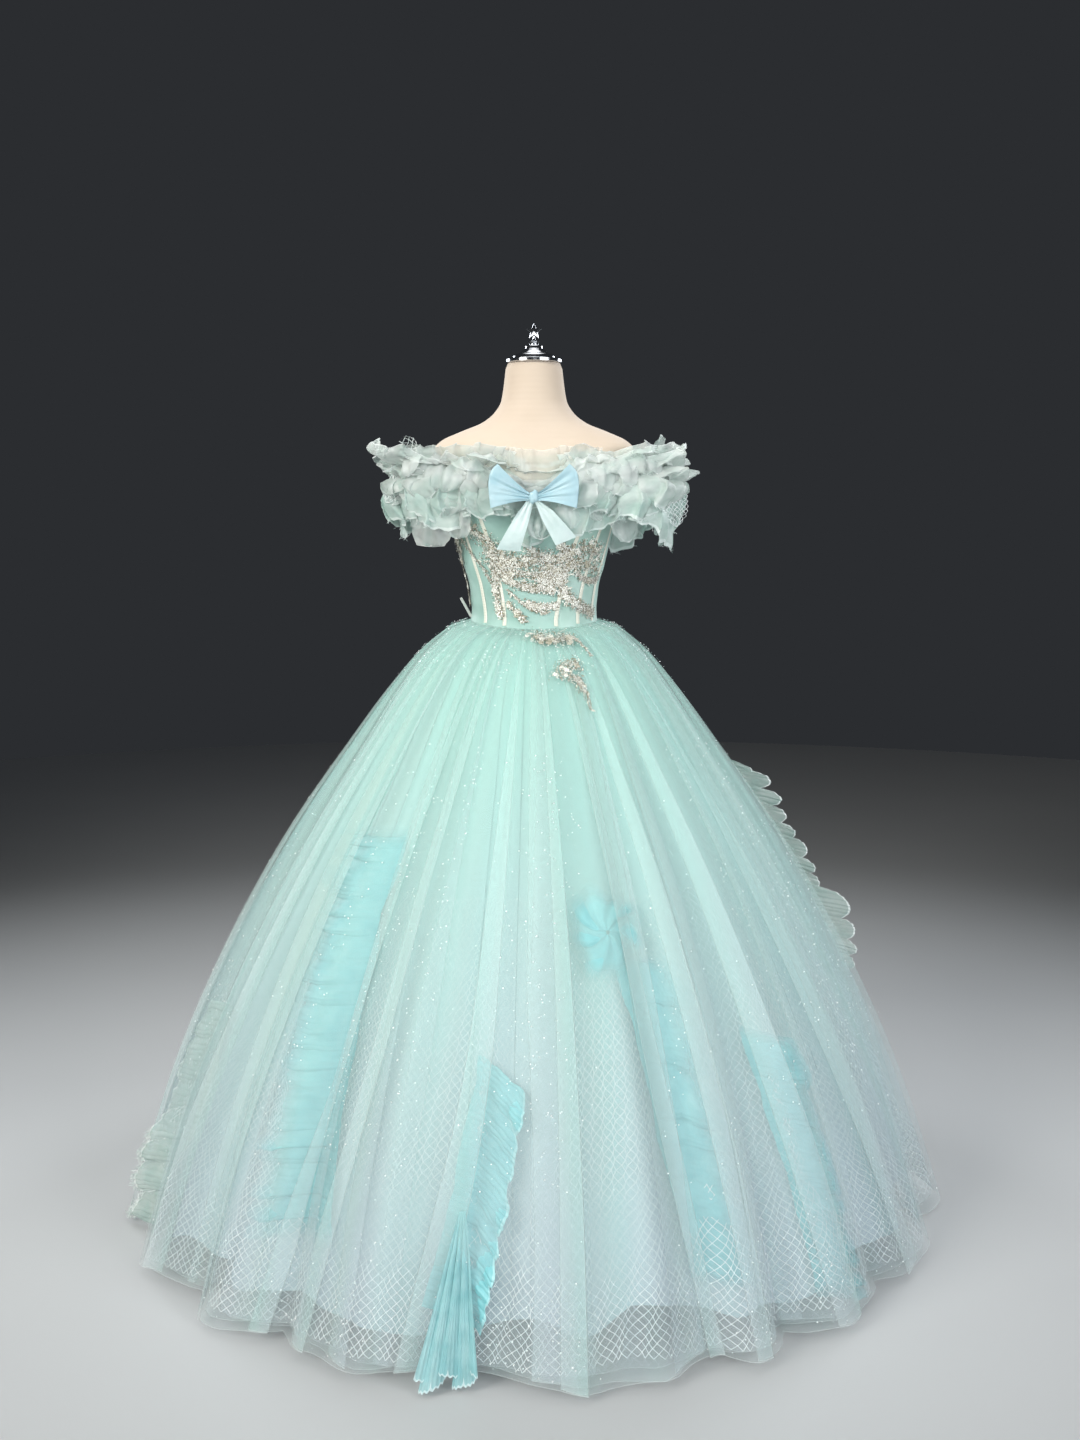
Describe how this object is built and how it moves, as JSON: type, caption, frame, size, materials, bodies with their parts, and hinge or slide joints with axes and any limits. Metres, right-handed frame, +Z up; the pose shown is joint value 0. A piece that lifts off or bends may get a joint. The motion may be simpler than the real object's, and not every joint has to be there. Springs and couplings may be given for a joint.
{
  "type": "ball gown on dress form",
  "caption": "Off-shoulder ball gown with boned bodice, bow, gathered frills and a full layered skirt, on a limbless dress form.",
  "frame": {"origin": "on the floor, in the middle of the underside of the stand's foot", "axes": "+Z up, -Y toward the front of the gown, +X toward the left side of its wearer"},
  "size_m": [1.5194, 1.5303, 1.629],
  "materials": {
    "jersey": "matt cotton jersey cover",
    "chrome": "polished",
    "steel": "satin black",
    "bodice": "satin under fine mesh",
    "channel": "satin tape",
    "lace": "sequined embroidery",
    "band": "organza over satin",
    "frill": "crisp organza and tulle",
    "bow": "satin ribbon",
    "overlay": "sheer glitter tulle",
    "net": "diamond net",
    "lining": "soft tulle",
    "ruffle": "pleated organza",
    "ribbon": "clear ribbon"
  },
  "bodies": {
    "root": {"form_torso": "jersey", "form_neck_cap": "chrome", "form_finial": "chrome", "form_stand": "steel", "bodice_side_left": "bodice", "bodice_front_left": "bodice", "bodice_front_centre": "bodice", "bodice_front_right": "bodice", "bodice_side_right": "bodice", "bodice_back_right": "bodice", "bodice_back_left": "bodice", "boning_left_outer": "channel", "boning_left_inner": "channel", "boning_right_inner": "channel", "boning_right_outer": "channel", "boning_right_side": "channel", "lace_front": "lace", "lace_tail": "lace", "band_front": "band", "band_sleeve_right": "band", "band_back": "band", "band_sleeve_left": "band", "frill_low_front": "frill", "frill_low_sleeve_right": "frill", "frill_low_back": "frill", "frill_low_sleeve_left": "frill", "frill_middle_front": "frill", "frill_middle_sleeve_right": "frill", "frill_middle_back": "frill", "frill_middle_sleeve_left": "frill", "frill_top_sleeve_right": "frill", "frill_top_sleeve_left": "frill", "bow_knot": "bow", "bow_loop_left": "bow", "bow_loop_right": "bow", "bow_tail_left": "bow", "bow_tail_right": "bow", "overlay_1": "overlay", "overlay_2": "overlay", "overlay_3": "overlay", "overlay_4": "overlay", "overlay_5": "overlay", "overlay_6": "overlay", "net_layer": "net", "lining_1": "lining", "lining_2": "lining", "lining_3": "lining", "lining_4": "lining", "lining_5": "lining", "lining_6": "lining", "ruffle_a": "ruffle", "ruffle_b": "ruffle", "ruffle_c": "ruffle", "ruffle_d": "ruffle", "ruffle_e": "ruffle", "ruffle_f": "ruffle", "ruffle_g": "ruffle", "ruffle_h": "ruffle", "waist_loop": "ribbon"}
  },
  "joints": []
}
